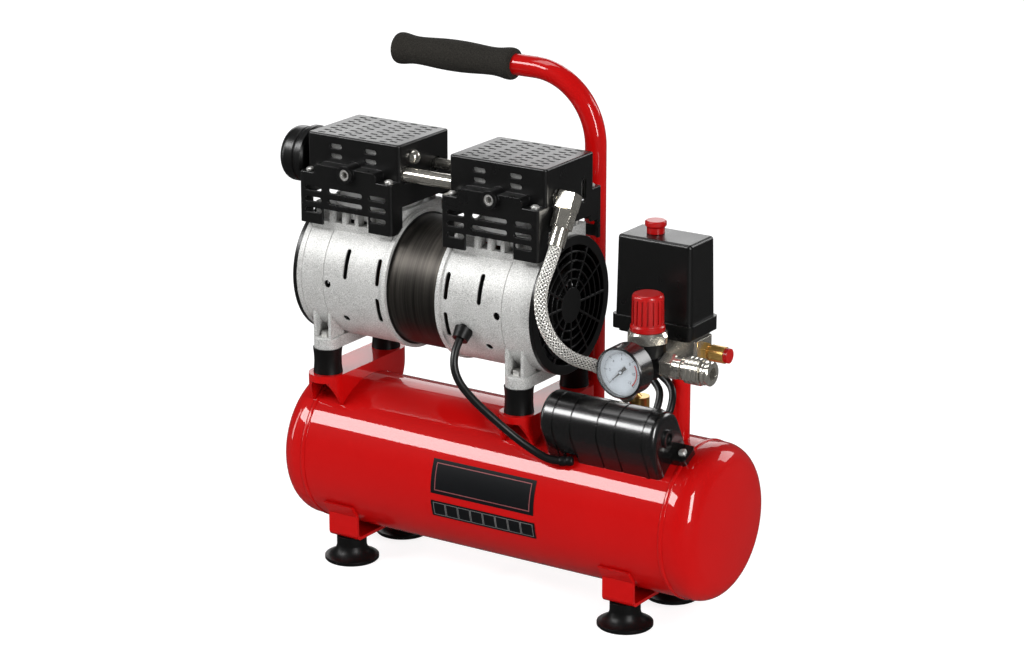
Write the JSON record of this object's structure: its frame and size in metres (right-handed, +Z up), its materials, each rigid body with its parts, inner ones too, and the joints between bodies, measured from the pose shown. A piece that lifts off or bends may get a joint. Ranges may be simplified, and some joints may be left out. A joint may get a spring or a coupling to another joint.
{
  "type": "air compressor",
  "caption": "Portable oil-free air compressor: twin-cylinder piston pump and motor on a horizontal red tank with handle, pressure switch, regulator, gauge and quick coupler.",
  "frame": {"origin": "on the floor under the middle of the whole object's box", "axes": "+X along the tank towards the air outlet, -Y the front with the gauge, +Z up"},
  "size_m": [0.4558, 0.1825, 0.4621],
  "materials": {
    "red_paint": "glossy",
    "black_rubber": "matt",
    "cable_black": "satin",
    "zinc_steel": "zinc plated",
    "grip_foam": "matt foam",
    "brass": "machined",
    "nickel": "nickel plated",
    "steel_braid": "braided wire",
    "black_plastic": "fine grain",
    "red_plastic": "glossy",
    "gloss_black": "glossy",
    "dial_white": "printed",
    "clear_lens": "clear",
    "aluminium_plain": "machined",
    "cast_aluminium": "satin casting",
    "black_core": "satin",
    "copper": "enamelled wire",
    "bright_steel": "ground",
    "iron": "machined"
  },
  "bodies": {
    "compressor": {"tank_shell": "red_paint", "tank_heads": "red_paint", "foot_brackets": "red_paint", "mount_saddles": "red_paint", "handle_tube": "red_paint", "switch_post": "red_paint", "rubber_feet": "black_rubber", "rubber_mounts": "black_rubber", "cable_glands": "black_rubber", "motor_lead": "cable_black", "switch_lead_front": "cable_black", "switch_lead_rear": "cable_black", "foot_bolts": "zinc_steel", "pump_bolts": "zinc_steel", "cover_screws": "zinc_steel", "handle_grip": "grip_foam", "drain_valve": "brass", "check_valve": "brass", "safety_valve_body": "brass", "manifold": "nickel", "regulator_body": "black_plastic", "regulator_collar": "nickel", "coupler_body": "nickel", "hose_fittings": "nickel", "head_pipes": "nickel", "braided_hose": "steel_braid", "switch_base": "black_plastic", "switch_cover": "black_plastic", "gauge_case": "gloss_black", "gauge_dial": "dial_white", "gauge_lens": "clear_lens", "capacitor_box": "gloss_black", "capacitor": "aluminium_plain", "crankcase_left": "cast_aluminium", "crankcase_right": "cast_aluminium", "stator_core": "black_core", "stator_windings": "copper", "shaft_bearings": "bright_steel", "fan_cover_left": "black_plastic", "fan_cover_right": "black_plastic", "cylinder_sleeves": "aluminium_plain", "valve_plates": "bright_steel", "cylinder_head_left": "cast_aluminium", "cylinder_head_right": "cast_aluminium", "head_cover_left": "black_plastic", "head_cover_right": "black_plastic", "air_filter_base": "black_plastic", "air_filter_cap": "black_plastic"},
    "rotor": {"motor_shaft": "bright_steel", "rotor_core": "bright_steel", "eccentrics": "iron", "cooling_fans": "black_plastic"},
    "piston_l": {"piston_left": "aluminium_plain"},
    "piston_r": {"piston_right": "aluminium_plain"},
    "on_off_knob": {"switch_knob": "red_plastic"},
    "pressure_knob": {"regulator_knob": "red_plastic"},
    "needle": {"gauge_needle": "black_plastic"},
    "release_sleeve": {"coupler_sleeve": "nickel"},
    "relief_cap": {"safety_valve_cap": "red_plastic"},
    "drain_knob": {"drain_screw": "brass"}
  },
  "joints": [
    {"name": "rotor_spin", "type": "hinge", "parent": "compressor", "child": "rotor", "pos_m": [-0.0667, 0.00475, 0.2629], "axis": [1, 0, 0], "continuous": true},
    {"name": "piston_left_stroke", "type": "slide", "parent": "compressor", "child": "piston_l", "axis": [0, 0, 1], "range_m": [-0.006, 0.006]},
    {"name": "piston_right_stroke", "type": "slide", "parent": "compressor", "child": "piston_r", "axis": [0, 0, 1], "range_m": [-0.006, 0.006]},
    {"name": "switch_pull", "type": "slide", "parent": "compressor", "child": "on_off_knob", "axis": [0, 0, 1], "range_m": [0, 0.008]},
    {"name": "pressure_turn", "type": "hinge", "parent": "compressor", "child": "pressure_knob", "pos_m": [0.1653, -0.04525, 0.29], "axis": [0, 0, 1], "range_deg": [-720, 720]},
    {"name": "gauge_swing", "type": "hinge", "parent": "compressor", "child": "needle", "pos_m": [0.1653, -0.08625, 0.2465], "axis": [0, 1, 0], "range_deg": [0, 270], "stiffness_Nm_per_rad": 0.0005},
    {"name": "coupler_release", "type": "slide", "parent": "compressor", "child": "release_sleeve", "axis": [-1, 0, 0], "range_m": [0, 0.004], "stiffness_N_per_m": 900},
    {"name": "relief_pull", "type": "slide", "parent": "compressor", "child": "relief_cap", "axis": [1, 0, 0], "range_m": [0, 0.003], "stiffness_N_per_m": 900},
    {"name": "drain_turn", "type": "hinge", "parent": "compressor", "child": "drain_knob", "pos_m": [0.0053, 0.04203, 0.01806], "axis": [0, 0.4384, -0.8988], "range_deg": [0, 720]}
  ],
  "couplings": [
    {"joint": "piston_right_stroke", "follows": "piston_left_stroke", "ratio": -1}
  ]
}
